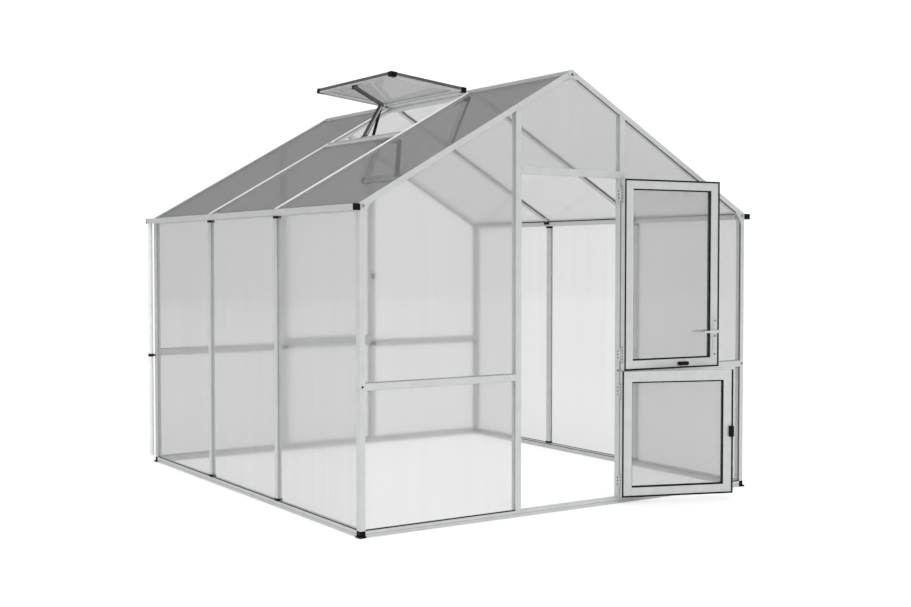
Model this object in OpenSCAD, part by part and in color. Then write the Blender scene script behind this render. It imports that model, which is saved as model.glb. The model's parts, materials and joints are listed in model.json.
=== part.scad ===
// Glass greenhouse: an aluminium frame glazed with frosted sheets, a gabled roof with one open
// vent, gutters with downpipes and a split door in the front gable.
// The origin lies under the middle of the door sill, X to the right, Y to the rear, Z up.

/* [Building] */
// Width over the two side walls
width = 2720; // [2400:10:3000]
// Length over the two gables
length = 2950; // [2600:10:3300]
// Height of the roof plane above the ground at the wall faces
eave_h = 1700; // [1500:10:1900]
// Rise of the roof from the eaves to the ridge
roof_rise = 776; // [600:2:900]

/* [Frame profiles] */
// Depth of the gable frames and of the sills
frame_d = 40; // [36:1:50]
// Height of the sills
sill_h = 35; // [30:1:45]
// Face width of the corner posts
corner_w = 30; // [26:1:36]
// Width of the posts in the side walls
side_post_w = 34; // [30:1:50]
// Depth of the posts in the side walls
side_post_d = 30; // [26:1:36]
// Face width of the gable rafters
rafter_h = 30; // [26:1:36]
// Width of the roof bars
bar_w = 24; // [24:1:36]
// Width of the rafter lips beside the roof sheets
rafter_lip = 12; // [10:1:20]
// Chamfer along the edges of the profiles
edge = 2; // [1:0.5:3]
// Length of the ridge profile down each slope
ridge_arm = 45; // [40:1:55]

/* [Glazing] */
// Thickness of the sheets
glass_t = 4; // [3:0.5:6]
// Distance of the sheets behind the outer faces
glass_in = 8; // [6:0.5:12]
// Depth of the glazing slots
slot_d = 10; // [8:0.5:12]
// Length of the sheet edges inside the slots
bite = 8; // [6:0.5:10]

/* [Gables] */
// Clear width of the doorway
door_clear = 700; // [600:5:800]
// Face width of the door posts and rear posts
jamb_w = 38; // [32:1:45]
// Height of the underside of the door header
header_z = 1882; // [1780:2:1920]
// Face height of the door header
header_h = 40; // [36:1:55]
// Height of the underside of the mid rails
rail_z = 750; // [600:5:900]
// Face height of the mid rails
rail_h = 37; // [30:1:45]
// Height of the underside of the middle rail in the rear gable
rear_rail_z = 763; // [600:1:900]
// Face height of the middle rail in the rear gable
rear_rail_h = 61; // [40:1:70]

/* [Eaves] */
// Height of the underside of the eave beams
beam_z = 1661; // [1500:1:1661]
// Width of the gutters
gutter_w = 38; // [32:1:50]
// Height of the gutters
gutter_h = 32; // [28:1:45]
// Wall thickness of the gutters
gutter_t = 3; // [2:0.5:4]
// Length of the gutters past the rear gable
gutter_over = 40; // [38:1:60]
// Thickness of the gutter end caps
cap_t = 8; // [4:1:12]
// Outer radius of the downpipes
pipe_r = 16; // [14:0.5:20]
// Wall thickness of the downpipes
pipe_t = 2; // [1.5:0.5:3]
// Height of the lower end of the downpipes
pipe_z = 45; // [20:1:100]
// Height of the underside of the pipe clips
pipe_clip_z = 737; // [300:1:1500]

/* [Door leaves] */
// Width of both door leaves
leaf_w = 690; // [660:1:692]
// Thickness of both door leaves
leaf_t = 36; // [30:1:38]
// Width of the stiles
stile_w = 60; // [50:1:65]
// Height of the rails
door_rail_h = 55; // [45:1:65]
// Height of the top rail of the lower leaf
meeting_rail_h = 60; // [55:1:75]
// Underside of the lower leaf
lower_z0 = 42; // [41:1:50]
// Top of the lower leaf
lower_z1 = 770; // [740:1:770]
// Underside of the upper leaf
upper_z0 = 775; // [775:1:800]
// Top of the upper leaf
upper_z1 = 1877; // [1780:1:1877]
// Angle by which the upper leaf stands open
upper_open = 175; // [0:1:175]
// Angle by which the lower leaf stands open
lower_open = 160; // [0:1:175]
// Width of the seal around the inner faces
seal_w = 9; // [6:1:12]
// Thickness of the seal around the inner faces
seal_t = 3; // [2:0.5:4]

/* [Door hardware] */
// Distance of the hinge pins in front of the frame face
hinge_out = 10; // [10:0.5:12]
// Radius of the hinge knuckles
knuckle_r = 7; // [6:0.5:8]
// Radius of the hinge pins
pin_r = 3.5; // [3:0.25:4]
// Radius of the bores for the hinge pins
pin_bore_r = 3.8; // [3.3:0.1:4.5]
// Height of the hinges
hinge_h = 70; // [60:1:90]
// Thickness of the hinge plates
plate_t = 4; // [3:0.5:5]
// Heights of the hinge centres
hinge_zs = [130, 653, 865, 1790];
// Height of the lever axis
lever_z = 985; // [900:5:1100]
// Length of the lever grips
lever_l = 104; // [90:1:130]
// Distance of the lever grips from the leaf faces
lever_out = 44; // [35:1:48]
// Radius of the lever necks
neck_r = 9; // [7:0.5:11]
// Radius of the spindle between the levers
spindle_r = 5; // [4:0.5:6]
// Thickness of the lock plates
lock_t = 3; // [2:0.5:5]

/* [Roof vent] */
// Length of the vent from its hinge to its free edge
vent_l = 544; // [500:2:600]
// Angle of the open vent above the horizontal
vent_up = 6.5; // [0:0.5:20]
// Width of the vent profiles
vent_w = 36; // [30:1:45]
// Thickness of the vent profiles
vent_t = 28; // [20:1:32]
// Distance of the vent sill from the ridge down the slope
vent_down = 612; // [560:1:650]
// Distance of the opener's upper pin from the free edge of the vent
pin_in = 20; // [12:1:24]
// Distance of the opener's upper pin below the vent
pin_down = 12; // [11:1:16]

/* [Part selection] */
// Name of the piece to show, or all

/* [Hidden] */
$fn = 48;
pitch = atan2(roof_rise, width / 2);
slope_l = sqrt(pow(width / 2, 2) + pow(roof_rise, 2));
ridge_z = eave_h + roof_rise;
mid_y = length / 2 - frame_d / 2;
rear_y = length - frame_d / 2;
half_w = width / 2;
half_door = door_clear / 2;
jamb_x = half_door + jamb_w / 2;
inner_w = half_w - corner_w;
bay = (length - 2 * frame_d - 2 * side_post_w) / 3;
post_us = [frame_d + bay + side_post_w / 2, length - frame_d - bay - side_post_w / 2];
fit = 0.02;
clip_h = 14;
clip_lip = 3;
gutter_z = eave_h - 4 - gutter_h;
pipe_x = half_w + gutter_w / 2;
pipe_y = rear_y + gutter_over - 18;
rafter_end = slope_l - ridge_arm;
ridge_low = ridge_z - ridge_arm * sin(pitch) - rafter_h * cos(pitch);
glass_out = glass_in + glass_t;
leaf_edge = 0.6;
leaf_x1 = half_door - (door_clear - leaf_w) / 2;
hinge_x = leaf_x1;
hinge_y = -frame_d / 2 - hinge_out;
leaf_y0 = hinge_out;
leaf_y1 = hinge_out + leaf_t;
leaf_glass_y = leaf_y0 + (leaf_t - glass_t) / 2;
lever_x = -leaf_w + stile_w / 2;
vent_s = slope_l - vent_down;
vent_hinge_s = slope_l - ridge_arm - 6;
vent_hinge_x = -half_w + vent_hinge_s * cos(pitch) - 3 * sin(pitch);
vent_hinge_z = eave_h + vent_hinge_s * sin(pitch) + 3 * cos(pitch);
vent_y0 = post_us[0] - frame_d / 2 + bar_w / 2;
vent_y1 = post_us[1] - frame_d / 2 + bar_w / 2;
vent_ym = (vent_y0 + vent_y1) / 2;
opener_base = [-half_w + (vent_s + 34) * cos(pitch), eave_h + (vent_s + 34) * sin(pitch)];
opener_elbow = [-373, 2407];
opener_top = [vent_hinge_x - (vent_l - pin_in) * cos(vent_up) - pin_down * sin(vent_up),
    vent_hinge_z + (vent_l - pin_in) * sin(vent_up) - pin_down * cos(vent_up)];
rod_low = [-520, 1924];
alu = [0.79, 0.80, 0.79];
alu_dark = [0.62, 0.63, 0.63];
black = [0.06, 0.06, 0.065];
frosted = [0.86, 0.88, 0.88, 0.45];
roof_frosted = [0.68, 0.69, 0.69, 0.5];

// Height of a line at the normal offset n above the roof plane, at the distance x from the left wall face
function roof_z(x, n) = eave_h + x * tan(pitch) + n / cos(pitch);

// Places its children a second time, turned half round about the middle of the building
module both_ways() {
    children();
    translate([0, mid_y, 0]) rotate([0, 0, 180]) translate([0, -mid_y, 0]) children();
}

// Turns its children half round about the middle of the building
module turned() {
    translate([0, mid_y, 0]) rotate([0, 0, 180]) translate([0, -mid_y, 0]) children();
}

// Front gable frame: X across, Y inwards from the outer face, Z up
module front_wall() {
    translate([0, -frame_d / 2, 0]) children();
}

// Left wall frame: X from the rear face to the front face, Y inwards from the outer face, Z up
module left_wall() {
    translate([-half_w, rear_y, 0]) rotate([0, 0, -90]) children();
}

// Left roof slope: X up the slope, Y to the rear from the front face, Z out of the roof plane
module left_slope() {
    translate([-half_w, -frame_d / 2, eave_h]) rotate([0, -pitch, 0]) children();
}

// Extrudes a section drawn in Y and Z along X
module along_x(x0, x1) {
    translate([x0, 0, 0]) rotate([90, 0, 90]) linear_extrude(x1 - x0) children();
}

// Extrudes a section drawn in X and Z along Y
module along_y(y0, y1) {
    translate([0, y1, 0]) rotate([90, 0, 0]) linear_extrude(y1 - y0) children();
}

// Section of a glazing profile: w across, d inwards, with a slot at either side
module profile(w, d, slot_a, slot_b, inset = glass_in, deep = slot_d, c = edge) {
    difference() {
        polygon([[-w / 2 + c, 0], [w / 2 - c, 0], [w / 2, c], [w / 2, d - c],
            [w / 2 - c, d], [-w / 2 + c, d], [-w / 2, d - c], [-w / 2, c]]);
        if (slot_a) translate([-w / 2 - 1, inset]) square([deep + 1, glass_t]);
        if (slot_b) translate([w / 2 - deep, inset]) square([deep + 1, glass_t]);
    }
}

// Upright of a wall, its middle at the distance u along the wall
module upright(u, w, d, z0, z1, slot_a = true, slot_b = true) {
    translate([u, 0, z0]) linear_extrude(z1 - z0) profile(w, d, slot_a, slot_b);
}

// Rail of a wall from u0 to u1
module rail(u0, u1, z0, h, d, slot_low = true, slot_top = true) {
    along_x(u0, u1) translate([0, z0 + h / 2]) mirror([1, -1]) profile(h, d, slot_low, slot_top);
}

// Sheet of a wall, its outline drawn in X and Z
module sheet(points) {
    translate([0, glass_out, 0]) rotate([90, 0, 0]) linear_extrude(glass_t) polygon(points);
}

// Everything above the normal offset n of both roof planes
module above_roof(n) {
    both_ways() left_slope() translate([-400, -200, n]) cube([slope_l + 400, length + 400, 900]);
}

module corner_foot() {
    translate([-half_w, -frame_d / 2, 0]) difference() {
        union() {
            cube([corner_w, frame_d, sill_h]);
            translate([-8, -8, 0]) cube([corner_w + 8, frame_d + 8, 9]);
        }
        translate([corner_w - slot_d, glass_in, sill_h - slot_d]) cube([slot_d + 1, glass_t, slot_d + 1]);
        translate([glass_in, frame_d - slot_d, sill_h - slot_d]) cube([glass_t, slot_d + 1, slot_d + 1]);
    }
}

module corner_feet() color(black) {
    both_ways() corner_foot();
    both_ways() mirror([1, 0, 0]) corner_foot();
}

module front_sill() color(alu) {
    front_wall() difference() {
        rail(-inner_w, inner_w, 0, sill_h, frame_d, false, false);
        for (x0 = [-inner_w - 1, half_door])
            translate([x0, glass_in, sill_h - slot_d]) cube([inner_w - half_door + 1, glass_t, slot_d + 1]);
    }
}

module rear_sill() color(alu) {
    turned() front_wall() rail(-inner_w, inner_w, 0, sill_h, frame_d, false, true);
}

module side_sills() color(alu) {
    both_ways() left_wall() rail(frame_d, length - frame_d, 0, sill_h, frame_d, false, true);
}

module corner_post() {
    difference() {
        translate([-half_w, -frame_d / 2, sill_h]) linear_extrude(eave_h - sill_h) difference() {
            polygon([[edge, 0], [corner_w, 0], [corner_w, frame_d], [0, frame_d], [0, edge]]);
            translate([corner_w - slot_d, glass_in]) square([slot_d + 1, glass_t]);
            translate([glass_in, frame_d - slot_d]) square([glass_t, slot_d + 1]);
        }
        above_roof(-rafter_h);
    }
}

module corner_posts() color(alu) {
    both_ways() corner_post();
    both_ways() mirror([1, 0, 0]) corner_post();
}

// Gable uprights up to the rafters; the slots that face the middle bay start at the height z
module gable_uprights(z) {
    difference() {
        front_wall() for (k = [0, 1]) mirror([k, 0, 0]) difference() {
            upright(-jamb_x, jamb_w, frame_d, sill_h, ridge_z, true, false);
            translate([-half_door - slot_d, glass_in, z]) cube([slot_d + 1, glass_t, ridge_z]);
        }
        above_roof(-rafter_h);
    }
}

module door_posts() color(alu) gable_uprights(header_z + header_h - slot_d);

module door_header() color(alu) {
    front_wall() rail(-half_door, half_door, header_z, header_h, frame_d, false, true);
}

module side_bay_rails() {
    front_wall() {
        rail(-inner_w, -half_door - jamb_w, rail_z, rail_h, frame_d);
        rail(half_door + jamb_w, inner_w, rail_z, rail_h, frame_d);
    }
}

module front_mid_rails() color(alu) side_bay_rails();

module rear_posts() color(alu) turned() gable_uprights(0);

module rear_mid_rails() color(alu) turned() {
    side_bay_rails();
    front_wall() rail(-half_door, half_door, rear_rail_z, rear_rail_h, frame_d);
}

module side_wall_posts() color(alu) {
    both_ways() left_wall() for (u = post_us)
        upright(u, side_post_w, side_post_d, sill_h + clip_h, beam_z - clip_h);
}

module post_end_clips() color(black) {
    both_ways() left_wall() for (u = post_us, z = [sill_h, beam_z - clip_h])
        translate([u, -clip_lip, z]) linear_extrude(clip_h)
            profile(side_post_w + 6, side_post_d + 2 * clip_lip, true, true, glass_in + clip_lip, slot_d + 3);
}

module eave_beams() color(alu) {
    both_ways() left_wall() along_x(frame_d, length - frame_d) difference() {
        polygon([[0, beam_z], [frame_d, beam_z], [frame_d, roof_z(frame_d, -glass_out - fit)],
            [0, roof_z(0, -glass_out - fit)]]);
        translate([glass_in, beam_z - 1]) square([glass_t, slot_d + 1]);
    }
}

module gutter() {
    difference() {
        translate([-half_w - gutter_w, 0, gutter_z]) along_y(-frame_d / 2, rear_y + gutter_over)
            difference() {
                square([gutter_w, gutter_h]);
                translate([gutter_t, gutter_t]) square([gutter_w - 2 * gutter_t, gutter_h]);
            }
        translate([-pipe_x, pipe_y, gutter_z - 1]) cylinder(h = gutter_h, r = pipe_r - pipe_t);
    }
}

module gutters() color(alu) {
    gutter();
    mirror([1, 0, 0]) gutter();
}

module gutter_caps() {
    for (y = [-frame_d / 2 - cap_t, rear_y + gutter_over])
        translate([-half_w - gutter_w - 1, y, gutter_z - 1]) cube([gutter_w + 1, cap_t, gutter_h + 2]);
}

module gutter_end_caps() color(black) {
    gutter_caps();
    mirror([1, 0, 0]) gutter_caps();
}

module gable_rafter() {
    difference() {
        left_slope() along_x(-40, rafter_end) difference() {
            translate([frame_d / 2, 0]) mirror([0, 1]) profile(frame_d, rafter_h, false, false);
            translate([glass_in, -rafter_h - 1]) square([glass_t, slot_d + 1]);
            translate([rafter_lip, -glass_out - fit]) square([frame_d, glass_out + 1]);
        }
        translate([-half_w - 100, -frame_d, eave_h - 100]) cube([100, 2 * frame_d, 200]);
    }
}

module gable_rafters() color(alu) {
    both_ways() gable_rafter();
    both_ways() mirror([1, 0, 0]) gable_rafter();
}

module slope_bars() {
    difference() {
        left_slope() for (u = post_us)
            along_x(3, rafter_end) translate([u, 0]) mirror([0, 1]) profile(bar_w, rafter_h, true, true);
        intersection() {
            left_slope() translate([-200, 0, -200]) cube([400, length, 200 - glass_out]);
            translate([-half_w - 100, 0, 1000]) cube([100 + frame_d, length, 1000]);
        }
    }
}

module roof_bars() color(alu) both_ways() slope_bars();

module ridge_beam() color(alu) {
    along_y(-frame_d / 2, rear_y) difference() {
        polygon([[0, ridge_z],
            [-ridge_arm * cos(pitch), ridge_z - ridge_arm * sin(pitch)],
            [-ridge_arm * cos(pitch) + rafter_h * sin(pitch), ridge_low],
            [ridge_arm * cos(pitch) - rafter_h * sin(pitch), ridge_low],
            [ridge_arm * cos(pitch), ridge_z - ridge_arm * sin(pitch)]]);
        polygon([[0, ridge_z - 14], [-14, ridge_z - 34], [14, ridge_z - 34]]);
        for (k = [0, 1]) mirror([k, 0]) translate([0, ridge_z]) rotate(pitch)
            translate([-ridge_arm - 1, -glass_out]) square([slot_d + 1, glass_t]);
    }
}

module gable_side_sheets() {
    x0 = -inner_w - bite;
    x1 = -half_door - jamb_w + bite;
    front_wall() {
        sheet([[x0, sill_h - slot_d], [x1, sill_h - slot_d], [x1, rail_z + bite], [x0, rail_z + bite]]);
        sheet([[x0, rail_z + rail_h - slot_d], [x1, rail_z + rail_h - slot_d],
            [x1, roof_z(x1 + half_w, bite - rafter_h)], [x0, roof_z(x0 + half_w, bite - rafter_h)]]);
    }
}

module gable_middle_sheet(z0) {
    x1 = half_door + bite;
    x2 = half_w - (ridge_low - eave_h + (rafter_h - bite) / cos(pitch)) / tan(pitch);
    z1 = roof_z(half_w - x1, bite - rafter_h);
    front_wall() sheet([[-x1, z0], [x1, z0], [x1, z1], [x2, ridge_low], [-x2, ridge_low], [-x1, z1]]);
}

module front_wall_glass() color(frosted) {
    gable_side_sheets();
    mirror([1, 0, 0]) gable_side_sheets();
    gable_middle_sheet(header_z + header_h - slot_d);
}

module rear_wall_glass() color(frosted) turned() {
    x1 = half_door + bite;
    gable_side_sheets();
    mirror([1, 0, 0]) gable_side_sheets();
    gable_middle_sheet(rear_rail_z + rear_rail_h - slot_d);
    front_wall() sheet([[-x1, sill_h - slot_d], [x1, sill_h - slot_d],
        [x1, rear_rail_z + bite], [-x1, rear_rail_z + bite]]);
}

module side_wall_glass() color(frosted) {
    both_ways() left_wall() for (k = [0 : 2]) {
        u0 = frame_d + k * (bay + side_post_w) - bite;
        u1 = u0 + bay + 2 * bite;
        sheet([[u0, sill_h - slot_d], [u1, sill_h - slot_d], [u1, beam_z + bite], [u0, beam_z + bite]]);
    }
}

// Edges of the roof sheets along the building, one pair for each bay
function roof_edges(k) = [
    k == 0 ? rafter_lip + 1 : post_us[k - 1] + bar_w / 2 - bite,
    k == 2 ? length - rafter_lip - 1 : post_us[k] - bar_w / 2 + bite];

module roof_sheet(k, s1) {
    u = roof_edges(k);
    left_slope() translate([5, u[0], -glass_out]) cube([s1 - 5, u[1] - u[0], glass_t]);
}

module left_roof_glass() color(roof_frosted) {
    roof_sheet(0, rafter_end + bite);
    roof_sheet(1, vent_s - 20 + bite);
    roof_sheet(2, rafter_end + bite);
}

module right_roof_glass() color(roof_frosted) turned() {
    for (k = [0 : 2]) roof_sheet(k, rafter_end + bite);
}

// Open roof vent: X runs from the hinge to the right, so the leaf lies at negative X
module vent() {
    translate([vent_hinge_x, 0, vent_hinge_z]) rotate([0, vent_up, 0]) children();
}

module vent_sill() color(alu) {
    left_slope() along_y(post_us[0] + bar_w / 2, post_us[1] - bar_w / 2) difference() {
        polygon([[vent_s - 20, -rafter_h], [vent_s + 20, -rafter_h], [vent_s + 20, 8], [vent_s + 14, 8],
            [vent_s + 14, 0], [vent_s - 20, 0]]);
        translate([vent_s - 21, -glass_out]) square([slot_d + 1, glass_t]);
    }
}

module vent_hinge() color(alu_dark) {
    left_slope() translate([vent_hinge_s + fit, vent_y0 + frame_d / 2 + vent_w, fit])
        cube([30, vent_y1 - vent_y0 - 2 * vent_w, 2.9]);
}

module vent_frame() color(alu) vent() {
    for (k = [0, 1]) translate([k == 0 ? -vent_l + vent_w / 2 : -vent_w / 2, 0, 0])
        along_y(vent_y0 + vent_w, vent_y1 - vent_w) translate([0, vent_t]) mirror([0, 1])
            profile(vent_w, vent_t, k == 1, k == 0);
    for (y = [vent_y0, vent_y1 - vent_w])
        along_x(-vent_l + vent_w + 1, -vent_w - 1) translate([y + vent_w / 2, vent_t]) mirror([0, 1])
            profile(vent_w, vent_t, y > vent_ym, y < vent_ym);
}

module vent_corner_caps() color(black) vent() {
    for (k = [0, 1], y = [vent_y0 - 2, vent_y1 - vent_w])
        difference() {
            translate([k == 0 ? -vent_l - 2 : -vent_w - 1, y, 0])
                cube([vent_w + (k == 0 ? 3 : 1), vent_w + 2, vent_t + 2]);
            translate([-vent_l + vent_w - slot_d, vent_y0 + vent_w - slot_d, vent_t - glass_out])
                cube([vent_l - 2 * (vent_w - slot_d), vent_y1 - vent_y0 - 2 * (vent_w - slot_d), glass_t]);
        }
}

module vent_glass() color(roof_frosted) vent() {
    translate([-vent_l + vent_w - bite, vent_y0 + vent_w - bite, vent_t - glass_out])
        cube([vent_l - 2 * vent_w + 2 * bite, vent_y1 - vent_y0 - 2 * vent_w + 2 * bite, glass_t]);
}

// Flat link between two points of the X and Z plane, from y0 to y1
module link(a, b, r, y0, y1) {
    d = b - a;
    translate([a[0], y1, a[1]]) rotate([90, -atan2(d[1], d[0]), 0]) linear_extrude(y1 - y0) union() {
        circle(r);
        translate([norm(d), 0]) circle(r);
        translate([0, -r]) square([norm(d), 2 * r]);
    }
}

// Round bar between two points of the X and Z plane at the given Y
module round_bar(a, b, y, r) {
    d = b - a;
    translate([a[0], y, a[1]]) rotate([0, 90 - atan2(d[1], d[0]), 0]) cylinder(h = norm(d), r = r);
}

module vent_opener_brackets() color(alu_dark) {
    difference() {
        left_slope() translate([vent_s + 20, vent_ym + frame_d / 2 - 22, -rafter_h + 4]) cube([26, 44, 36]);
        translate([-half_w, vent_ym - 18, 1800]) cube([half_w, 36, 600]);
    }
    difference() {
        vent() translate([-vent_l + pin_in - 10, vent_ym - 22, -pin_down - 10]) cube([20, 44, pin_down + 10]);
        translate([-half_w, vent_ym - 18, 1800]) cube([half_w, 36, 800]);
    }
}

module vent_opener_arms() color(alu_dark) {
    for (k = [-1, 1]) {
        link(opener_base, opener_elbow, 9, vent_ym + k * 16 - 2, vent_ym + k * 16 + 2);
        link(opener_top, opener_elbow, 9, vent_ym + k * 12 - 2, vent_ym + k * 12 + 2);
    }
    for (p = [opener_base, opener_elbow, opener_top])
        translate([p[0], vent_ym + 18, p[1]]) rotate([90, 0, 0]) cylinder(h = 36, r = 4);
}

// Eye of a rod around a bar that runs along Y
module eye(p, r, bore) {
    translate([p[0], vent_ym + 3.5, p[1]]) rotate([90, 0, 0]) difference() {
        cylinder(h = 7, r = r);
        translate([0, 0, -1]) cylinder(h = 9, r = bore);
    }
}

module vent_opener_cylinder() color(black) {
    d = (rod_low - opener_elbow) / norm(rod_low - opener_elbow);
    eye(opener_elbow, 8, 4.1);
    eye(rod_low, 11, 6.1);
    round_bar(opener_elbow + 7 * d, rod_low - 9 * d, vent_ym, 3);
    round_bar(opener_elbow + 40 * d, opener_elbow + 216 * d, vent_ym, 9.5);
}

module vent_opener_rod() color(alu_dark) {
    y0 = post_us[0] - frame_d / 2;
    bend = 30;
    difference() {
        translate([rod_low[0], y0, rod_low[1] + bend]) cylinder(h = 400, r = 6);
        above_roof(-rafter_h);
    }
    translate([rod_low[0], y0 + bend, rod_low[1] + bend]) rotate([0, 90, 0]) rotate([0, 0, -90])
        rotate_extrude(angle = 90) translate([bend, 0]) circle(6);
    translate([rod_low[0], y0 + bend, rod_low[1]]) rotate([-90, 0, 0])
        cylinder(h = vent_ym + 12 - y0 - bend, r = 6);
}

// Door leaf seen closed: the hinge pin is the origin in X and Y, the leaf lies at negative X
module leaf(open) {
    translate([hinge_x, hinge_y, 0]) rotate([0, 0, open]) children();
}

module leaf_stiles(z0, z1) {
    for (x = [-leaf_w, -stile_w])
        translate([x + stile_w / 2, leaf_y0, z0]) linear_extrude(z1 - z0)
            profile(stile_w, leaf_t, x > -leaf_w, x == -leaf_w, leaf_glass_y - leaf_y0, slot_d, leaf_edge);
}

module leaf_rails(z0, z1, low_h, top_h) {
    translate([0, leaf_y0, 0]) {
        along_x(-leaf_w + stile_w, -stile_w) translate([0, z0 + low_h / 2]) mirror([1, -1])
            profile(low_h, leaf_t, false, true, leaf_glass_y - leaf_y0, slot_d, leaf_edge);
        along_x(-leaf_w + stile_w, -stile_w) translate([0, z1 - top_h / 2]) mirror([1, -1])
            profile(top_h, leaf_t, true, false, leaf_glass_y - leaf_y0, slot_d, leaf_edge);
    }
}

module leaf_glass(z0, z1, low_h, top_h) {
    translate([-leaf_w + stile_w - bite, leaf_glass_y, z0 + low_h - slot_d])
        cube([leaf_w - 2 * stile_w + 2 * bite, glass_t, z1 - z0 - low_h - top_h + slot_d + bite]);
}

module leaf_seal(z0, z1, open_top) {
    translate([0, leaf_y1 + seal_t, 0]) rotate([90, 0, 0]) linear_extrude(seal_t) difference() {
        translate([-leaf_w, z0]) square([leaf_w, z1 - z0]);
        translate([-leaf_w + seal_w, z0 + seal_w])
            square([leaf_w - 2 * seal_w, z1 - z0 - (open_top ? 0 : 2 * seal_w)]);
    }
}

// Door half of a hinge: the plate on the outer face of the leaf and the middle knuckle
module door_hinge_leaf(z) {
    third = hinge_h / 3;
    difference() {
        union() {
            translate([-46, leaf_y0 - plate_t, z - hinge_h / 2]) cube([36, plate_t, hinge_h]);
            translate([-11, leaf_y0 - plate_t, z - third / 2 + 0.5]) cube([11, plate_t, third - 1]);
            translate([0, 0, z - third / 2 + 0.5]) cylinder(h = third - 1, r = knuckle_r);
        }
        translate([0, 0, z - hinge_h]) cylinder(h = 2 * hinge_h, r = pin_bore_r);
    }
}

// Frame half of a hinge: the plate on the door post, the two outer knuckles and the pin
module frame_hinge_leaf(z) {
    third = hinge_h / 3;
    translate([hinge_x, hinge_y, z]) {
        translate([10, leaf_y0 - plate_t, -hinge_h / 2]) cube([30, plate_t, hinge_h]);
        for (k = [-1, 1]) translate([0, 0, k * third - third / 2]) {
            translate([0, leaf_y0 - plate_t, 0]) cube([11, plate_t, third]);
            cylinder(h = third, r = knuckle_r);
        }
        translate([0, 0, -hinge_h / 2]) cylinder(h = hinge_h, r = pin_r);
    }
}

module fixed_hinge_leaves() color(alu) for (z = hinge_zs) frame_hinge_leaf(z);

module upper_door_stiles() color(alu) leaf(upper_open) difference() {
    leaf_stiles(upper_z0, upper_z1);
    translate([lever_x, 0, lever_z]) rotate([-90, 0, 0]) cylinder(h = 100, r = spindle_r + 0.4);
}

module upper_door_rails() color(alu) leaf(upper_open)
    leaf_rails(upper_z0, upper_z1, door_rail_h, door_rail_h);

module upper_door_glass() color(frosted) leaf(upper_open)
    leaf_glass(upper_z0, upper_z1, door_rail_h, door_rail_h);

module upper_door_seal() color(black) leaf(upper_open) leaf_seal(upper_z0, upper_z1, false);

module upper_door_hinge_leaves() color(alu) leaf(upper_open) for (k = [2, 3]) door_hinge_leaf(hinge_zs[k]);

module door_lock_plates() color(alu) leaf(upper_open) {
    for (y = [leaf_y0 - lock_t, leaf_y1]) translate([lever_x, y, lever_z]) rotate([-90, 0, 0])
        linear_extrude(lock_t) difference() {
            union() {
                for (z = [-80, 130]) translate([0, z]) circle(14);
                translate([-14, -80]) square([28, 210]);
            }
            circle(neck_r + 0.4);
        }
}

module upper_door_latch() color(black) leaf(upper_open) {
    translate([-421, leaf_y1, upper_z0 + door_rail_h / 2]) rotate([-90, 0, 0]) linear_extrude(12) union() {
        for (x = [-28, 28]) translate([x, 0]) circle(10.5);
        translate([-28, -10.5]) square([56, 21]);
    }
}

// Lever grip with a round end, its face drawn in X and Z
module grip(y, t) {
    translate([lever_x, y, lever_z]) rotate([-90, 0, 0]) linear_extrude(t) union() {
        circle(neck_r);
        translate([0, -neck_r]) polygon([[0, 0], [lever_l, 4], [lever_l, 2 * neck_r - 4], [0, 2 * neck_r]]);
        translate([lever_l, 0]) circle(neck_r - 4);
    }
}

module door_levers() color(alu) leaf(upper_open) {
    translate([lever_x, leaf_y0 - lever_out, lever_z]) rotate([-90, 0, 0])
        cylinder(h = leaf_t + 2 * lever_out, r = spindle_r);
    for (y = [leaf_y0 - lever_out, leaf_y1 + 0.5])
        translate([lever_x, y, lever_z]) rotate([-90, 0, 0]) cylinder(h = lever_out - 0.5, r = neck_r);
    grip(leaf_y0 - lever_out, 10);
    grip(leaf_y1 + lever_out - 10, 10);
}

module lower_door_stiles() color(alu) leaf(lower_open) leaf_stiles(lower_z0, lower_z1);

module lower_door_rails() color(alu) leaf(lower_open)
    leaf_rails(lower_z0, lower_z1, door_rail_h, meeting_rail_h);

module lower_door_glass() color(frosted) leaf(lower_open)
    leaf_glass(lower_z0, lower_z1, door_rail_h, meeting_rail_h);

module lower_door_seal() color(black) leaf(lower_open) leaf_seal(lower_z0, lower_z1, true);

module lower_door_hinge_leaves() color(alu) leaf(lower_open) for (k = [0, 1]) door_hinge_leaf(hinge_zs[k]);

module lower_door_latch() color(black) leaf(lower_open) {
    translate([-leaf_w + seal_w, leaf_y1, 376]) cube([18, 10, 62]);
    translate([-leaf_w, leaf_y1 + seal_t, 376]) cube([18 + seal_w, 14, 62]);
}

module downpipe() {
    translate([-pipe_x, pipe_y, pipe_z]) difference() {
        cylinder(h = gutter_z - pipe_z, r = pipe_r);
        translate([0, 0, -1]) cylinder(h = eave_h, r = pipe_r - pipe_t);
    }
}

module downpipes() color(alu) {
    downpipe();
    mirror([1, 0, 0]) downpipe();
}

module downpipe_clip() {
    translate([-pipe_x, pipe_y, pipe_clip_z]) difference() {
        union() {
            cylinder(h = 18, r = pipe_r + 3);
            translate([0, -pipe_y + rear_y - 14, 4]) cube([gutter_w / 2, pipe_y - rear_y + 14, 10]);
        }
        translate([0, 0, -1]) cylinder(h = 20, r = pipe_r);
    }
}

module downpipe_clips() color(black) {
    downpipe_clip();
    mirror([1, 0, 0]) downpipe_clip();
}

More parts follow.
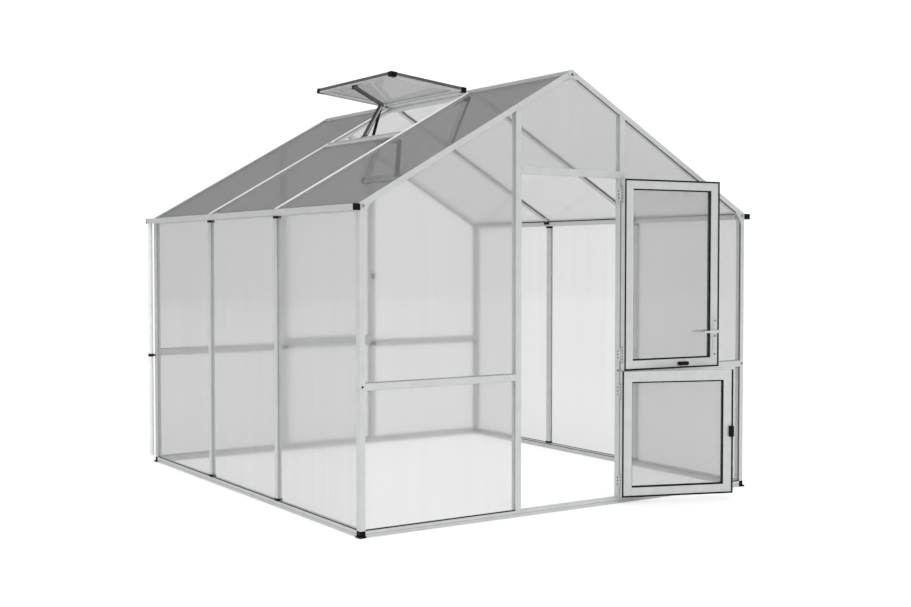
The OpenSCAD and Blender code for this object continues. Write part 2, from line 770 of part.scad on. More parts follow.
corner_feet();
front_sill();
rear_sill();
side_sills();
corner_posts();
door_posts();
door_header();
front_mid_rails();
rear_posts();
rear_mid_rails();
side_wall_posts();
post_end_clips();
eave_beams();
gutters();
gutter_end_caps();
downpipes();
downpipe_clips();
gable_rafters();
roof_bars();
ridge_beam();
front_wall_glass();
rear_wall_glass();
side_wall_glass();
left_roof_glass();
right_roof_glass();
vent_sill();
vent_hinge();
vent_frame();
vent_corner_caps();
vent_glass();
vent_opener_brackets();
vent_opener_arms();
vent_opener_cylinder();
vent_opener_rod();
fixed_hinge_leaves();
upper_door_stiles();
upper_door_rails();
upper_door_glass();
upper_door_seal();
upper_door_hinge_leaves();
door_lock_plates();
upper_door_latch();
door_levers();
lower_door_stiles();
lower_door_rails();
lower_door_glass();
lower_door_seal();
lower_door_hinge_leaves();
lower_door_latch();
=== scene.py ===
import json
import math

import bmesh
import bpy
from mathutils import Matrix, Vector


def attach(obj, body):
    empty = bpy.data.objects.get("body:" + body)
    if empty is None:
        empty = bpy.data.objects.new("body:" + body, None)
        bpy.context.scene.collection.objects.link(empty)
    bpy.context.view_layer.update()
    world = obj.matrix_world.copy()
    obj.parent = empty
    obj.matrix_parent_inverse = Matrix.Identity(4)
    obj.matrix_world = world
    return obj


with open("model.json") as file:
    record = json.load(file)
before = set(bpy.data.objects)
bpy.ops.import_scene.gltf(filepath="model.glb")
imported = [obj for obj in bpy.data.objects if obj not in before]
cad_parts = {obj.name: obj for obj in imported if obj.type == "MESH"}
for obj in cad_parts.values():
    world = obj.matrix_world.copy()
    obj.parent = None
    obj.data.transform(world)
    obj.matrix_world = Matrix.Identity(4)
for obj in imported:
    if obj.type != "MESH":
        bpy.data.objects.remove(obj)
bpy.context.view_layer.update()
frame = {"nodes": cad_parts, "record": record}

# Sizes of the building, in metres, in step with the part's source
WIDTH, LENGTH, EAVE, RISE = 2.72, 2.95, 1.70, 0.776
DEPTH, SILL, CORNER, JAMB, HALF_DOOR = 0.040, 0.035, 0.030, 0.038, 0.35
RAIL_Z, RAIL_H, HEADER_Z, HEADER_H = 0.750, 0.037, 1.882, 0.040
REAR_RAIL_Z, REAR_RAIL_H, BEAM_Z = 0.763, 0.061, 1.661
POST_W, CLIP_H, BAR_W, RAFTER, RIDGE_ARM, GLASS_IN = 0.034, 0.016, 0.024, 0.030, 0.045, 0.008
LEAF_W, LEAF_T, LEAF_GLASS, STILE, DOOR_RAIL, MEETING_RAIL = 0.690, 0.036, 0.004, 0.060, 0.055, 0.060
UPPER = (0.775, 1.877)
LOWER = (0.042, 0.770)
UPPER_OPEN, LOWER_OPEN = 175.0, 160.0
HINGE = Vector((0.345, -0.030, 0.0))
HINGE_OUT, HINGE_PLATE = 0.010, 0.004
HINGE_ZS = (0.130, 0.653, 0.865, 1.790)
VENT_L, VENT_W, VENT_T, VENT_DOWN, VENT_UP = 0.544, 0.036, 0.028, 0.612, math.radians(6.5)
VENT_GAP, VENT_LIFT = 0.006, 0.003
OPENER_ELBOW = Vector((-0.373, 0, 2.407))
OPENER_IN, OPENER_HALF = 0.034, 0.018

# Sizes that follow from them
PITCH = math.atan2(RISE, WIDTH / 2)
SLOPE = math.hypot(RISE, WIDTH / 2)
MID_Y = LENGTH / 2 - DEPTH / 2
REAR_Y = LENGTH - DEPTH / 2
BAY = (LENGTH - 2 * DEPTH - 2 * POST_W) / 3
POSTS = (DEPTH + BAY + POST_W / 2, LENGTH - DEPTH - BAY - POST_W / 2)
RIDGE_LOW = EAVE + RISE - RIDGE_ARM * math.sin(PITCH) - RAFTER * math.cos(PITCH)
RIDGE_X = WIDTH / 2 - (RIDGE_LOW - EAVE + RAFTER / math.cos(PITCH)) / math.tan(PITCH)
VENT_S = SLOPE - RIDGE_ARM - VENT_GAP
VENT_Y = [post - DEPTH / 2 + BAR_W / 2 for post in POSTS]
BAY_OUT, BAY_IN = -WIDTH / 2 + CORNER, -HALF_DOOR - JAMB
FRONT_BAYS = ((BAY_OUT, BAY_IN), (-BAY_IN, -BAY_OUT))
JAMB_X = HALF_DOOR + JAMB / 2

# Strips beside the sheets: their width and how deep they start behind the outer face
STRIP, STRIP_IN = 0.005, 0.002

# Round heads: radius, height and dome
PLATE_SCREW = (0.0038, 0.0008, 0.0012)
JAMB_SCREW = (0.0048, 0.0006, 0.0008)
LEAF_SCREW = (0.0045, 0.0008, 0.0012)
EDGE_SCREW = (0.0045, 0.0006, 0.0008)
LOCK_SCREW = (0.005, 0.0008, 0.0012)
PLUG = (0.006, 0.001, 0.001)

# Places: each takes points of a wall, slope or leaf to the building
TURN = (Matrix.Translation((0, MID_Y, 0)) @ Matrix.Rotation(math.pi, 4, "Z")
        @ Matrix.Translation((0, -MID_Y, 0)))
FRONT = Matrix.Translation((0, -DEPTH / 2, 0))
REAR = TURN @ FRONT
LEFT = Matrix.Translation((-WIDTH / 2, REAR_Y, 0)) @ Matrix.Rotation(-math.pi / 2, 4, "Z")
RIGHT = TURN @ LEFT
LEFT_SLOPE = Matrix.Translation((-WIDTH / 2, -DEPTH / 2, EAVE)) @ Matrix.Rotation(-PITCH, 4, "Y")
RIGHT_SLOPE = TURN @ LEFT_SLOPE
VENT = (LEFT_SLOPE @ Matrix.Translation((VENT_S, DEPTH / 2, VENT_LIFT))
        @ Matrix.Rotation(PITCH + VENT_UP, 4, "Y"))
UPPER_LEAF = Matrix.Translation(HINGE) @ Matrix.Rotation(math.radians(UPPER_OPEN), 4, "Z")
LOWER_LEAF = Matrix.Translation(HINGE) @ Matrix.Rotation(math.radians(LOWER_OPEN), 4, "Z")


def roof_z(x, offset):
    """Height of a line along the roof, at x from the left wall face and at a normal offset from the roof."""
    return EAVE + x * math.tan(PITCH) + offset / math.cos(PITCH)


def flip(points):
    """The mirror image of an outline, left for right."""
    return [(-x, z) for x, z in reversed(points)]


def gable_top(z):
    """Outline of the pane between the door posts, from the height z up to the ridge."""
    jamb_z = roof_z(WIDTH / 2 - HALF_DOOR, -RAFTER)
    return [(-HALF_DOOR, z), (HALF_DOOR, z), (HALF_DOOR, jamb_z), (RIDGE_X, RIDGE_LOW),
            (-RIDGE_X, RIDGE_LOW), (-HALF_DOOR, jamb_z)]


LOW_BAY = [(BAY_OUT, SILL), (BAY_IN, SILL), (BAY_IN, RAIL_Z), (BAY_OUT, RAIL_Z)]
TOP_BAY = [(BAY_OUT, RAIL_Z + RAIL_H), (BAY_IN, RAIL_Z + RAIL_H),
           (BAY_IN, roof_z(BAY_IN + WIDTH / 2, -RAFTER)), (BAY_OUT, roof_z(BAY_OUT + WIDTH / 2, -RAFTER))]


class Builder:
    """Collects solids in one mesh."""

    def __init__(self, name):
        self.name = name
        self.verts = []
        self.faces = []

    def add(self, verts, faces, place):
        first = len(self.verts)
        self.verts += [place @ Vector(v) for v in verts]
        self.faces += [tuple(first + i for i in face) for face in faces]

    def box(self, low, high, place):
        verts = [(x, y, z) for z in (low[2], high[2]) for y in (low[1], high[1]) for x in (low[0], high[0])]
        faces = [(0, 2, 3, 1), (4, 5, 7, 6), (0, 1, 5, 4), (2, 6, 7, 3), (0, 4, 6, 2), (1, 3, 7, 5)]
        self.add(verts, faces, place)

    def ring(self, points, width, near, far, place):
        """A mitred strip along the inside of an outline in X and Z, from depth near to far in Y."""
        n = len(points)
        inner = []
        for i in range(n):
            point, before, after = (Vector(points[j % n]) for j in (i, i - 1, i + 1))
            along = (point - before).normalized()
            onward = (after - point).normalized()
            mitre = Vector((-along.y - onward.y, along.x + onward.x)).normalized()
            inner.append(point + mitre * (width / max(0.2, mitre.dot(Vector((-along.y, along.x))))))
        verts = [(p[0], depth, p[1]) for depth in (near, far) for loop in (points, inner) for p in loop]
        faces = []
        for i in range(n):
            j = (i + 1) % n
            faces += [(i, j, n + j, n + i), (2 * n + i, 3 * n + i, 3 * n + j, 2 * n + j),
                      (n + i, n + j, 3 * n + j, 3 * n + i), (i, 2 * n + i, 2 * n + j, j)]
        self.add(verts, faces, place)

    def plate(self, points, near, far, place):
        """A flat plate, its outline drawn in X and Z, from depth near to far in Y."""
        n = len(points)
        faces = [tuple(range(n)), tuple(reversed(range(n, 2 * n)))]
        faces += [(i, n + i, n + (i + 1) % n, (i + 1) % n) for i in range(n)]
        self.add([(x, depth, z) for depth in (near, far) for x, z in points], faces, place)

    def disc(self, centre, axis, radius, height, dome, place=Matrix.Identity(4), sides=16):
        """A round head that stands on a face, with a low dome."""
        upright = Vector((0, 0, 1)).rotation_difference(Vector(axis)).to_matrix().to_4x4()
        turns = [2 * math.pi * i / sides for i in range(sides)]
        loops = [(radius, 0.0), (radius, height), (radius * 0.7, height + dome)]
        verts = [(r * math.cos(turn), r * math.sin(turn), z) for r, z in loops for turn in turns]
        faces = [tuple(reversed(range(sides))), tuple(range(2 * sides, 3 * sides))]
        for start in (0, sides):
            for i in range(sides):
                j = (i + 1) % sides
                faces.append((start + i, start + j, start + sides + j, start + sides + i))
        self.add(verts, faces, place @ Matrix.Translation(centre) @ upright)

    def make(self, material, body):
        """Turns the solids into one piece of the scene, its faces outwards."""
        mesh = bpy.data.meshes.new(self.name)
        mesh.from_pydata([tuple(v) for v in self.verts], [], self.faces)
        mesh.update()
        shell = bmesh.new()
        shell.from_mesh(mesh)
        bmesh.ops.recalc_face_normals(shell, faces=shell.faces)
        shell.to_mesh(mesh)
        shell.free()
        mesh.materials.append(material)
        obj = bpy.data.objects.new(self.name, mesh)
        bpy.context.scene.collection.objects.link(obj)
        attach(obj, body)


# Materials
def new_material(name):
    """A material with its nodes, its links and its Principled shader."""
    made = bpy.data.materials.new(name)
    made.use_nodes = True
    nodes = made.node_tree.nodes
    return made, nodes, made.node_tree.links, nodes["Principled BSDF"]


def blend(nodes, links, factor, first, second):
    """Mixes two shaders by a number or by a socket."""
    mix = nodes.new("ShaderNodeMixShader")
    if isinstance(factor, float):
        mix.inputs["Fac"].default_value = factor
    else:
        links.new(factor, mix.inputs["Fac"])
    links.new(first, mix.inputs[1])
    links.new(second, mix.inputs[2])
    return mix.outputs["Shader"]


def calculate(nodes, links, operation, *values):
    """A Math node whose inputs are numbers or sockets."""
    node = nodes.new("ShaderNodeMath")
    node.operation = operation
    for socket, value in zip(node.inputs, values):
        if isinstance(value, float):
            socket.default_value = value
        else:
            links.new(value, socket)
    return node.outputs[0]


def mottled(nodes, links, low, high, scale):
    """A colour that wanders between two close tones, and the noise behind it."""
    coord = nodes.new("ShaderNodeTexCoord")
    noise = nodes.new("ShaderNodeTexNoise")
    noise.inputs["Scale"].default_value = scale
    noise.inputs["Detail"].default_value = 3.0
    ramp = nodes.new("ShaderNodeValToRGB")
    for element, position, tone in zip(ramp.color_ramp.elements, (0.3, 0.7), (low, high)):
        element.position = position
        element.color = (*tone, 1)
    links.new(coord.outputs["Object"], noise.inputs["Vector"])
    links.new(noise.outputs["Fac"], ramp.inputs["Fac"])
    return ramp.outputs["Color"], noise.outputs["Fac"]


def plain(name, low, high, scale, rough, metallic=0.0, bump=0.0, gloss=0.5):
    """An opaque material that is mottled between two tones."""
    made, nodes, links, bsdf = new_material(name)
    colour, noise = mottled(nodes, links, low, high, scale)
    links.new(colour, bsdf.inputs["Base Color"])
    bsdf.inputs["Roughness"].default_value = rough
    bsdf.inputs["Metallic"].default_value = metallic
    bsdf.inputs["Specular IOR Level"].default_value = gloss
    if bump:
        relief = nodes.new("ShaderNodeBump")
        relief.inputs["Strength"].default_value = bump
        relief.inputs["Distance"].default_value = 0.001
        links.new(noise, relief.inputs["Height"])
        links.new(relief.outputs["Normal"], bsdf.inputs["Normal"])
    return made


def grey(low, high):
    """Two grey tones."""
    return (low, low, low), (high, high, high)


def frosted(name, absorb, rough, haze, tone, streaks, ior=1.12):
    """Frosted sheet: blurred see-through that grows darker at a low angle, under a haze of the given tone."""
    made, nodes, links, bsdf = new_material(name)
    lowest_facing, grain_share, daylight_loss = 0.14, 0.12, 0.15

    def even(value):
        node = nodes.new("ShaderNodeCombineColor")
        for channel in range(3):
            links.new(value, node.inputs[channel])
        return node.outputs["Color"]

    weight = nodes.new("ShaderNodeLayerWeight")
    weight.inputs["Blend"].default_value = 0.5
    facing = calculate(nodes, links, "SUBTRACT", 1.0, weight.outputs["Facing"])
    facing = calculate(nodes, links, "MAXIMUM", facing, lowest_facing)
    coord = nodes.new("ShaderNodeTexCoord")
    mapping = nodes.new("ShaderNodeMapping")
    mapping.inputs["Scale"].default_value = streaks
    links.new(coord.outputs["Object"], mapping.inputs["Vector"])
    grain = nodes.new("ShaderNodeTexNoise")
    grain.inputs["Scale"].default_value = 1.0
    links.new(mapping.outputs["Vector"], grain.inputs["Vector"])
    spread = nodes.new("ShaderNodeMapRange")
    spread.inputs["To Min"].default_value = -absorb * (1 + grain_share)
    spread.inputs["To Max"].default_value = -absorb * (1 - grain_share)
    links.new(grain.outputs["Fac"], spread.inputs["Value"])
    depth = calculate(nodes, links, "DIVIDE", spread.outputs["Result"], facing)
    passed = calculate(nodes, links, "EXPONENT", depth)
    links.new(even(passed), bsdf.inputs["Base Color"])
    bsdf.inputs["Transmission Weight"].default_value = 1.0
    bsdf.inputs["Roughness"].default_value = rough
    bsdf.inputs["IOR"].default_value = ior

    milk = nodes.new("ShaderNodeBsdfDiffuse")
    glow = nodes.new("ShaderNodeBsdfTranslucent")
    for shader in (milk, glow):
        shader.inputs["Color"].default_value = (tone, tone, tone, 1)
    cloud = blend(nodes, links, 0.5, milk.outputs["BSDF"], glow.outputs["BSDF"])
    clouded = blend(nodes, links, haze, bsdf.outputs["BSDF"], cloud)

    # Daylight falls through the sheet with little loss
    through = nodes.new("ShaderNodeBsdfTransparent")
    links.new(even(calculate(nodes, links, "POWER", passed, daylight_loss)), through.inputs["Color"])
    path = nodes.new("ShaderNodeLightPath").outputs
    lighting = calculate(nodes, links, "MAXIMUM", path["Is Shadow Ray"], path["Is Diffuse Ray"])
    surface = blend(nodes, links, lighting, clouded, through.outputs["BSDF"])
    links.new(surface, nodes["Material Output"].inputs["Surface"])
    return made


ALU = plain("satin metal", (0.485, 0.495, 0.495), (0.53, 0.54, 0.54), 14.0, 0.42, metallic=0.35)
STEEL = plain("dull steel", (0.10, 0.102, 0.102), (0.14, 0.142, 0.142), 40.0, 0.4, metallic=0.6)
BLACK = plain("black plastic", *grey(0.003, 0.006), 60.0, 0.5, bump=0.1, gloss=0.1)
# Black rubber, also used for the painted shadow along the right wall's posts
SEAL_AND_SHADOW = plain("seal rubber and painted shadow", *grey(0.006, 0.011), 90.0, 0.7, bump=0.1, gloss=0.1)
# Grey gasket rubber, also used for the painted shade of the sill grooves
GASKET_AND_GROOVE_SHADE = plain("grey gasket and painted groove shade", *grey(0.20, 0.26), 90.0, 0.7, gloss=0.2)
SCREW = plain("screw heads", *grey(0.010, 0.02), 120.0, 0.45, gloss=0.2)
# A lighter copy of the satin metal, painted light: the painted highlight on the roof bar caps, and the
# downpipes and opener rod
LIT_METAL = plain("metal lightened with painted light", (0.76, 0.77, 0.77), (0.81, 0.82, 0.82), 14.0, 0.42, metallic=0.15)
EDGE = plain("vent edge rubber", *grey(0.07, 0.10), 60.0, 0.6, gloss=0.2)
# Dark grey for the ridge strips, also the painted shade on the roof bars under their caps
RIDGE_STRIP_AND_BAR_SHADE = plain("ridge strip and painted bar shade", *grey(0.26, 0.31), 20.0, 0.5, gloss=0.2)
GLASS = frosted("frosted sheet", 0.16, 0.12, 0.08, 0.70, (22, 22, 0.6))
# The far slope has the same sheets as the near one, in a lighter copy: painted light for the light from below
LIT_FAR_ROOF = frosted("frosted far roof sheet with painted light", 0.18, 0.10, 0.08, 0.70, (3, 22, 3))
VENT_GLASS = frosted("frosted vent sheet", 0.21, 0.02, 0.25, 0.35, (3, 22, 3))
ROOF = frosted("frosted roof sheet", 0.36, 0.03, 0.25, 0.29, (3, 22, 3), ior=1.3)

LOOK = {"alu": ALU, "steel": STEEL, "black_plastic": BLACK, "seal": SEAL_AND_SHADOW, "frosted_glass": GLASS,
        "roof_glass": ROOF}
# The downpipes and the opener rod take the lighter metal copy, painted light
SPECIAL = {"right_roof_glass": LIT_FAR_ROOF, "vent_glass": VENT_GLASS, "downpipes": LIT_METAL, "vent_hinge": ALU,
           "vent_opener_rod": LIT_METAL}
for part in frame["record"]["subparts"]:
    node_mesh = frame["nodes"][part["node"]].data
    node_mesh.materials.clear()
    node_mesh.materials.append(SPECIAL.get(part["node"], LOOK[part["material_slot"]]))


# Pieces of the frame
def gaskets():
    """Grey gaskets around the rear panes and on top of the front mid rails."""
    piece = Builder("gaskets")
    for bay in (LOW_BAY, TOP_BAY, flip(LOW_BAY), flip(TOP_BAY)):
        piece.ring(bay, STRIP, STRIP_IN, GLASS_IN, REAR)
    top = RAIL_Z + RAIL_H
    for start, end in FRONT_BAYS:
        piece.box((start, STRIP_IN, top), (end, GLASS_IN, top + STRIP), FRONT)
    rear_low = [(-HALF_DOOR, SILL), (HALF_DOOR, SILL), (HALF_DOOR, REAR_RAIL_Z), (-HALF_DOOR, REAR_RAIL_Z)]
    for pane in (gable_top(REAR_RAIL_Z + REAR_RAIL_H), rear_low):
        piece.ring(pane, STRIP, STRIP_IN, GLASS_IN, REAR)
    piece.make(GASKET_AND_GROOVE_SHADE, "frame")


def rounded(corner, first, second, reach):
    """Outline between two edges that leave a corner, closed by a curve."""
    tip = Vector(corner)
    start = tip + (Vector(first) - tip).normalized() * reach
    end = tip + (Vector(second) - tip).normalized() * reach
    pull = tip * 0.8 + (start + end) * 0.1
    steps = [k / 10 for k in range(11)]
    curve = [start * (1 - t) ** 2 + pull * 2 * t * (1 - t) + end * t ** 2 for t in steps]
    return [tuple(tip)] + [tuple(point) for point in curve]


def corner_plates():
    """Rounded plates in the corners of the front gable panes."""
    inset, eave_reach, ridge_reach = 0.0006, 0.06, 0.03
    top = gable_top(HEADER_Z + HEADER_H)
    eave_corner = rounded(TOP_BAY[3], TOP_BAY[0], TOP_BAY[2], eave_reach)
    ridge_corner = rounded(top[4], top[5], top[3], ridge_reach)
    piece = Builder("gable_corner_plates")
    for outline in (eave_corner, flip(eave_corner), ridge_corner, flip(ridge_corner)):
        piece.plate(outline, inset, GLASS_IN, FRONT)
    piece.make(ALU, "frame")


def dark_strips():
    """Painted shadow, in part a gasket, on the side posts; dark lines on the front bays, eave beams and
    sills; dark brackets and gutter end rings.
    """
    piece = Builder("dark_strips")
    proud, line, thin = 0.0008, 0.003, 0.002

    # Along the posts of the right wall: a dark line down one edge of each, painted shadow and in part a
    # gasket
    post_shadow, post_in = 0.006, 0.004
    for post in POSTS:
        edge = post - POST_W / 2
        piece.box((edge, -proud, SILL + CLIP_H), (edge + post_shadow, post_in, BEAM_Z - CLIP_H), RIGHT)

    # On the front sill and under the right front rafter
    for start, end in FRONT_BAYS:
        piece.box((start, STRIP_IN, SILL), (end, GLASS_IN, SILL + STRIP), FRONT)
    for start, end in ((RIDGE_X, HALF_DOOR), (-BAY_IN, -BAY_OUT)):
        start_z, end_z = (roof_z(WIDTH / 2 - x, -RAFTER) for x in (start, end))
        outline = [(start, start_z), (end, end_z), (end, end_z - line), (start, start_z - line)]
        piece.plate(outline, STRIP_IN, GLASS_IN, FRONT)

    # Inside the side walls: blocks and a line on the eave beam, and a line on the sill
    block_half, block_t, block_z = 0.024, 0.010, (BEAM_Z + 0.012, BEAM_Z + 0.036)
    beam_line = (BEAM_Z + 0.030, BEAM_Z + 0.037)
    sill_line = (SILL - 0.006, SILL - 0.002)
    for place in (LEFT, RIGHT):
        for post in POSTS:
            piece.box((post - block_half, DEPTH, block_z[0]),
                      (post + block_half, DEPTH + block_t, block_z[1]), place)
        for low, high in (beam_line, sill_line):
            piece.box((DEPTH, DEPTH, low), (LENGTH - DEPTH, DEPTH + thin, high), place)

    # Under the sheets of the side walls
    sheet_in = 0.003
    for place in (LEFT, RIGHT):
        piece.box((DEPTH, sheet_in, SILL), (LENGTH - DEPTH, GLASS_IN, SILL + line), place)

    # Brackets on the inner faces of the rear posts
    bracket_half, bracket_t, bracket_gap = 0.022, 0.004, 0.004
    for x in (-JAMB_X, JAMB_X):
        piece.box((x - bracket_half, DEPTH, RAIL_Z + bracket_gap),
                  (x + bracket_half, DEPTH + bracket_t, RAIL_Z + RAIL_H - bracket_gap), REAR)
    hook_half, hook_t, hook_z = 0.012, 0.006, (1.265, 1.305)
    piece.box((-JAMB_X - hook_half, DEPTH, hook_z[0]), (-JAMB_X + hook_half, DEPTH + hook_t, hook_z[1]), REAR)

    # Rings at the front ends of the gutters
    ring_r, ring_x, ring_z = 0.008, -WIDTH / 2 + 0.020, 1.686
    turns = [math.pi * i / 8 for i in range(16)]
    around = [(ring_x + ring_r * math.cos(turn), ring_z + ring_r * math.sin(turn)) for turn in turns]
    for outline in (around, flip(around)):
        piece.ring(outline, line, -proud, 0.0, FRONT)
    piece.make(SEAL_AND_SHADOW, "frame")


def rubber_lines():
    """Rubber lines under the right roof sheets and beside the right corner post."""
    piece = Builder("rubber_lines")
    half, low, high = 0.001, -0.0185, -0.0125
    eave_gap, ridge_gap = 0.07, 0.03
    for post in POSTS:
        for edge in (post - BAR_W / 2, post + BAR_W / 2):
            piece.box((eave_gap, edge - half, low), (SLOPE - RIDGE_ARM - ridge_gap, edge + half, high),
                      RIGHT_SLOPE)
    for start, end in ((SILL, RAIL_Z), (RAIL_Z + RAIL_H, roof_z(CORNER, -RAFTER))):
        piece.box((-BAY_OUT - STRIP, STRIP_IN, start), (-BAY_OUT, GLASS_IN, end), FRONT)
    piece.make(EDGE, "frame")


def sill_groove_shade():
    """Painted shade of grooves along the middle of the sills."""
    piece = Builder("sill_groove_shade")
    proud, low, high = 0.0004, 0.016, 0.018
    for start, end, places in ((BAY_OUT, -BAY_OUT, (FRONT, REAR)), (DEPTH, LENGTH - DEPTH, (LEFT, RIGHT))):
        for place in places:
            piece.box((start, -proud, low), (end, 0.0, high), place)
    piece.make(GASKET_AND_GROOVE_SHADE, "frame")


def vent_rubber():
    """Rubber on the outer faces of the vent, and two thin lines under its frame."""
    piece = Builder("vent_edge_rubber")
    proud, low, line, line_t = 0.0015, 0.010, 0.003, 0.001
    near, far = VENT_Y
    side = (-VENT_L + VENT_W, -VENT_W)
    piece.box((-VENT_L - proud, near + VENT_W, low), (-VENT_L, far - VENT_W, VENT_T), VENT)
    piece.box((side[0], near - proud, low), (side[1], near, VENT_T), VENT)
    piece.box((side[0], far, low), (side[1], far + proud, VENT_T), VENT)
    piece.box((side[0], far - VENT_W - line, -line_t), (side[1], far - VENT_W, 0.0), VENT)
    piece.box((side[1] - line, near + VENT_W, -line_t), (side[1], far - VENT_W, 0.0), VENT)
    piece.make(EDGE, "frame")


def roof_bar_light_and_shade():
    """Caps on the roof bars in a painted highlight, and painted shade on the bars just under the caps."""
    caps = Builder("roof_bar_lit_caps")
    edges = Builder("roof_bar_shaded_edges")
    start, low, middle, high = 0.004, -0.0075, -0.0030, 0.0012
    half = BAR_W / 2 + 0.0008
    for slope in (LEFT_SLOPE, RIGHT_SLOPE):
        for post in POSTS:
            # Painted highlight on the cap, painted shade on the band below it
            caps.box((start, post - half, middle), (SLOPE - RIDGE_ARM, post + half, high), slope)
            edges.box((start, post - half, low), (SLOPE - RIDGE_ARM, post + half, middle), slope)
    caps.make(LIT_METAL, "frame")
    edges.make(RIDGE_STRIP_AND_BAR_SHADE, "frame")


def opener_arm_pale_strips():
    """Pale strips along the lower arms of the vent opener."""
    piece = Builder("opener_arm_pale_strips")
    proud, half, end_gap = 0.0004, 0.003, 0.02
    along = SLOPE - VENT_DOWN + OPENER_IN
    foot = Vector((-WIDTH / 2 + along * math.cos(PITCH), 0, EAVE + along * math.sin(PITCH)))
    arm = OPENER_ELBOW - foot
    place = Matrix.Translation(foot) @ Matrix.Rotation(-math.atan2(arm.z, arm.x), 4, "Y")
    middle = sum(VENT_Y) / 2
    for y in (middle - OPENER_HALF - proud, middle + OPENER_HALF):
        piece.box((end_gap, y, -half), (arm.length - end_gap, y + proud, half), place)
    piece.make(ALU, "frame")


def ridge_strips():
    """Darker strips on both sides of the ridge."""
    piece = Builder("ridge_strips")
    proud, ridge_gap, end_gap = 0.0008, 0.014, 0.012
    for slope in (LEFT_SLOPE, RIGHT_SLOPE):
        piece.box((SLOPE - RIDGE_ARM, end_gap, 0.0), (SLOPE - ridge_gap, LENGTH - end_gap, proud), slope)
    piece.make(RIDGE_STRIP_AND_BAR_SHADE, "frame")


def frame_screws():
    """Screws of the fixed hinge leaves, and of the door post's inner face."""
    piece = Builder("frame_screws")
    plate_x, plate_y, jamb_y = HINGE.x + 0.029, -DEPTH / 2 - HINGE_PLATE, -DEPTH / 2 + 0.010
    plate_rises = (-0.028, -0.014, 0.0, 0.014, 0.028)
    jamb_rises = (-0.020, 0.0, 0.020)
    for z in HINGE_ZS:
        for rise in plate_rises:
            piece.disc((plate_x, plate_y, z + rise), (0, -1, 0), *PLATE_SCREW)
        for rise in jamb_rises:
            piece.disc((HALF_DOOR, jamb_y, z + rise), (-1, 0, 0), *JAMB_SCREW)
    piece.make(SCREW, "frame")


def rail_plugs():
    """Round plugs at the ends of the front rails, and one on the door post between the leaves."""
    piece = Builder("rail_plugs")
    corner_x, jamb_y, jamb_z = WIDTH / 2 - CORNER / 2, -0.010, 0.772
    for x in (-corner_x, corner_x):
        piece.disc((x, -DEPTH / 2, RAIL_Z + RAIL_H / 2), (0, -1, 0), *PLUG)
    piece.disc((HALF_DOOR, jamb_y, jamb_z), (-1, 0, 0), *PLUG)
    piece.make(BLACK, "frame")


# Pieces of the door leaves
def leaf_beads(body, place, bottom, top, back, side):
    """Black beads around the sheet of a leaf; back is their depth behind its face, side their free edge."""
    edge, foot, head, lip, outer_in = 0.0022, 0.009, 0.0075, 0.0005, 0.002
    left, right = -LEAF_W + STILE, -STILE
    inner = [(left, bottom), (right, bottom), (right, top), (left, top)]
    behind = HINGE_OUT + (LEAF_T + LEAF_GLASS) / 2
    piece = Builder(body + "_beads")
    piece.ring(inner, edge, behind, HINGE_OUT + LEAF_T - back, place)
    piece.ring(inner, edge, HINGE_OUT + outer_in, HINGE_OUT + (LEAF_T - LEAF_GLASS) / 2, place)
    face = HINGE_OUT + LEAF_T - back + lip
    piece.box((left, behind, bottom), (right, face, bottom + foot), place)
    piece.box((left, behind, top - head), (right, face, top), place)
    piece.box((left, behind, bottom), (left + side, face, top), place)
    piece.make(SEAL_AND_SHADOW, body)


def leaf_screws(body, place, hinge_zs):
    """Screws of a leaf's hinges, on its outer face and on its hinge edge."""
    piece = Builder(body + "_screws")
    face_rises, face_xs = (-0.024, 0.024), (-0.038, -0.020)
    edge_y, edge_rises = HINGE_OUT + 0.014, (-0.044, -0.026, -0.009, 0.009, 0.026, 0.044)
    for z in hinge_zs:
        for rise in face_rises:
            for x in face_xs:
                piece.disc((x, HINGE_OUT - HINGE_PLATE, z + rise), (0, -1, 0), *LEAF_SCREW, place)
        for rise in edge_rises:
            piece.disc((0.0, edge_y, z + rise), (1, 0, 0), *EDGE_SCREW, place)
    piece.make(SCREW, body)


def lock_plate_screws():
    """Screws of the lock plate on the inner face of the upper leaf."""
    piece = Builder("lock_plate_screws")
    plate_t, heights = 0.003, (1.050, 0.957, 0.850)
    for z in heights:
        piece.disc((-LEAF_W + STILE / 2, HINGE_OUT + LEAF_T + plate_t, z), (0, 1, 0), *LOCK_SCREW, UPPER_LEAF)
    piece.make(BLACK, "upper_door")


gaskets()
corner_plates()
dark_strips()
rubber_lines()
sill_groove_shade()
vent_rubber()
roof_bar_light_and_shade()
opener_arm_pale_strips()
ridge_strips()
frame_screws()
rail_plugs()
leaf_beads("upper_door", UPPER_LEAF, UPPER[0] + DOOR_RAIL, UPPER[1] - DOOR_RAIL, back=0.006, side=0.003)
leaf_screws("upper_door", UPPER_LEAF, HINGE_ZS[2:])
leaf_beads("lower_door", LOWER_LEAF, LOWER[0] + DOOR_RAIL, LOWER[1] - MEETING_RAIL, back=0.002, side=0.0045)
leaf_screws("lower_door", LOWER_LEAF, HINGE_ZS[:2])
lock_plate_screws()


# Stage, light and camera
def seen_rays(nodes, links):
    """Outputs of a Light Path node, and a socket that is 1 for what is seen, straight or through a sheet."""
    path = nodes.new("ShaderNodeLightPath").outputs
    return path, calculate(nodes, links, "MAXIMUM", path["Is Camera Ray"], path["Is Transmission Ray"])


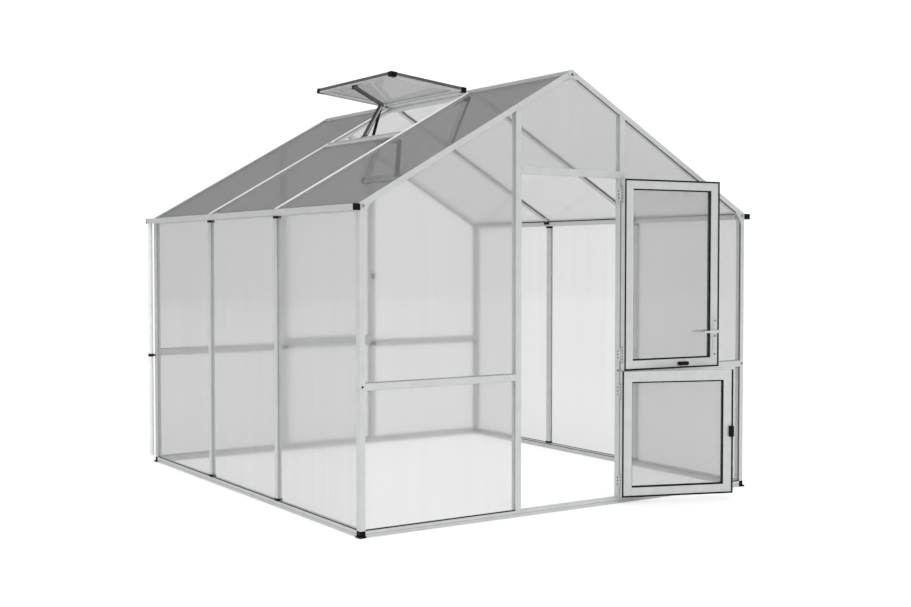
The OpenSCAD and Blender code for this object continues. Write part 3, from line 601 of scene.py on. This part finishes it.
def studio_floor():
    """Pale paper floor that glows a little where it is seen, and keeps the object's shadow."""
    paper = plain("studio floor", *grey(0.915, 0.93), 2.0, 0.9, gloss=0.0)
    nodes, links = paper.node_tree.nodes, paper.node_tree.links
    seen = seen_rays(nodes, links)[1]
    share = calculate(nodes, links, "MULTIPLY", seen, 0.6)
    glow = nodes.new("ShaderNodeEmission").outputs["Emission"]
    surface = blend(nodes, links, share, nodes["Principled BSDF"].outputs["BSDF"], glow)
    links.new(surface, nodes["Material Output"].inputs["Surface"])
    bpy.ops.mesh.primitive_plane_add(size=60, location=(0, 1.5, -0.001))
    floor = bpy.context.object
    floor.name = "studio_floor"
    floor.data.materials.append(paper)


def studio_world():
    """White background: full white where it is seen, dim in mirror reflections, soft light for the rest."""
    world = bpy.data.worlds.new("studio")
    bpy.context.scene.world = world
    world.use_nodes = True
    nodes, links = world.node_tree.nodes, world.node_tree.links
    path, seen = seen_rays(nodes, links)
    light = nodes["Background"]
    mirrored = nodes.new("ShaderNodeBackground")
    white = nodes.new("ShaderNodeBackground")
    for background in (light, mirrored, white):
        background.inputs["Color"].default_value = (1, 1, 1, 1)
    light.inputs["Strength"].default_value = 0.95
    mirrored.inputs["Strength"].default_value = 0.45
    level = calculate(nodes, links, "MULTIPLY_ADD", path["Is Camera Ray"], 0.1, 1.0)
    links.new(level, white.inputs["Strength"])
    unseen = blend(nodes, links, path["Is Glossy Ray"], light.outputs["Background"],
                   mirrored.outputs["Background"])
    surface = blend(nodes, links, seen, unseen, white.outputs["Background"])
    links.new(surface, nodes["World Output"].inputs["Surface"])


def lights():
    """A large soft lamp in front and a very soft sun overhead, which the sheets don't mirror."""
    key = bpy.data.lights.new("key", "AREA")
    key.shape = "DISK"
    key.size = 5.0
    key.energy = 260
    overhead = bpy.data.lights.new("overhead", "SUN")
    overhead.energy = 0.9
    overhead.angle = math.radians(100)
    for lamp, at, to in ((key, (-3.0, -7.0, 7.0), (0, 1.0, 0.8)), (overhead, (0, 1.5, 8), (0, 1.5, 0))):
        obj = bpy.data.objects.new(lamp.name, lamp)
        obj.location = at
        obj.rotation_euler = (Vector(to) - Vector(at)).to_track_quat("-Z", "Y").to_euler()
        obj.visible_glossy = False
        bpy.context.scene.collection.objects.link(obj)


def camera():
    """The camera, placed as in the photograph."""
    lens = bpy.data.cameras.new("camera")
    lens.sensor_fit = "HORIZONTAL"
    lens.sensor_width = 36.0
    lens.lens = 50.27
    yaw, tilt = math.radians(33.289), math.radians(-2.02)
    look = Vector((math.sin(yaw) * math.cos(tilt), math.cos(yaw) * math.cos(tilt), math.sin(tilt)))
    eye = bpy.data.objects.new("camera", lens)
    eye.location = (-4.473, -5.640, 1.4195)
    eye.rotation_euler = look.to_track_quat("-Z", "Y").to_euler()
    bpy.context.scene.collection.objects.link(eye)
    bpy.context.scene.camera = eye


studio_floor()
studio_world()
lights()
camera()
bpy.context.scene.view_settings.view_transform = "Standard"
